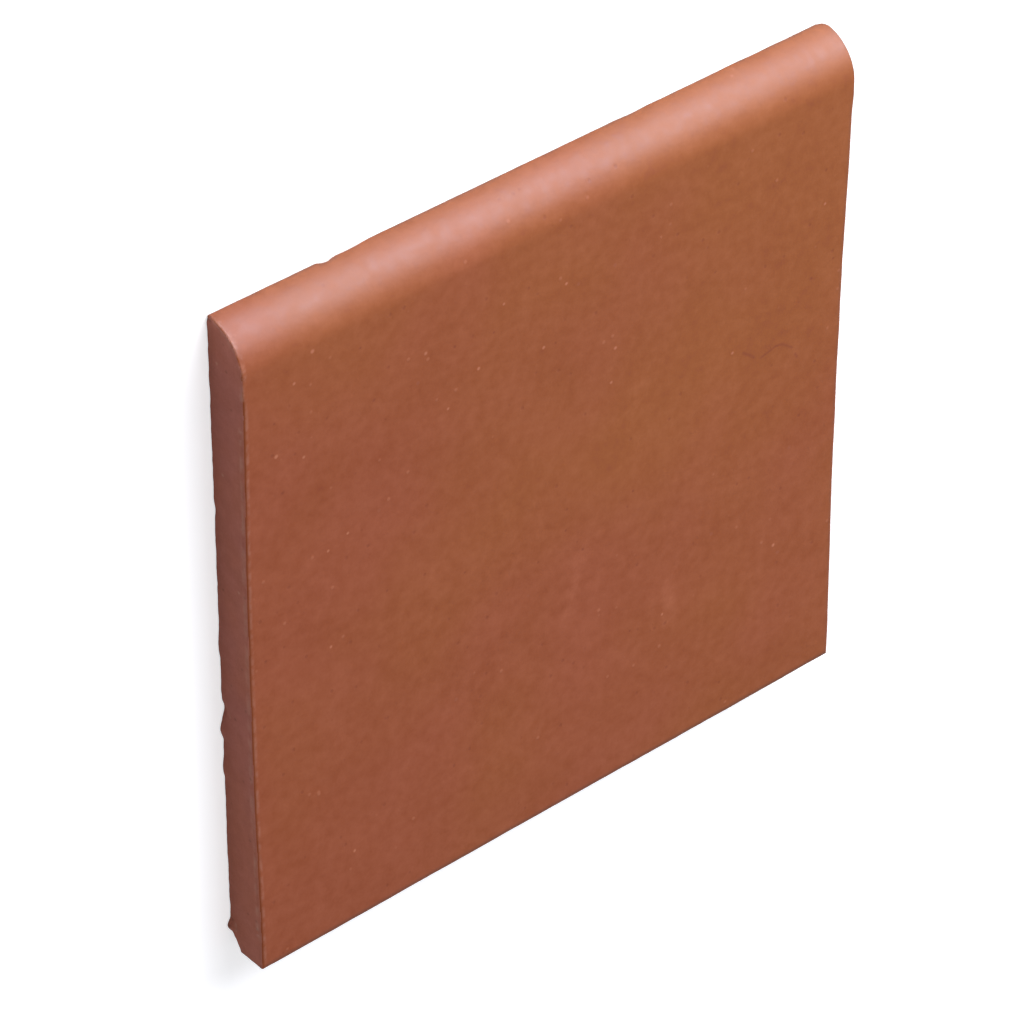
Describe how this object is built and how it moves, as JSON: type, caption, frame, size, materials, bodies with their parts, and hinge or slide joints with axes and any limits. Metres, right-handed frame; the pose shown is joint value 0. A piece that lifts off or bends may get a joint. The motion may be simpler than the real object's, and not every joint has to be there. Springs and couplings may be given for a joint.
{
  "type": "quarry bullnose tile",
  "caption": "Flat square unglazed red clay tile with a rounded bullnose edge that finishes the open edge of tiling.",
  "frame": {"origin": "middle of the tile's plan, on the flat back that it lies on", "axes": "+X along the rounded edge, +Y towards the rounded edge, +Z outwards from the fair face"},
  "size_m": [0.152, 0.152, 0.01],
  "materials": {
    "fired_clay": "unglazed fired red clay, satin-matte: fair face and round smooth with fine specks, cut ends rougher, darker and browner"
  },
  "bodies": {
    "root": {"bullnose_tile": "fired_clay"}
  },
  "joints": []
}
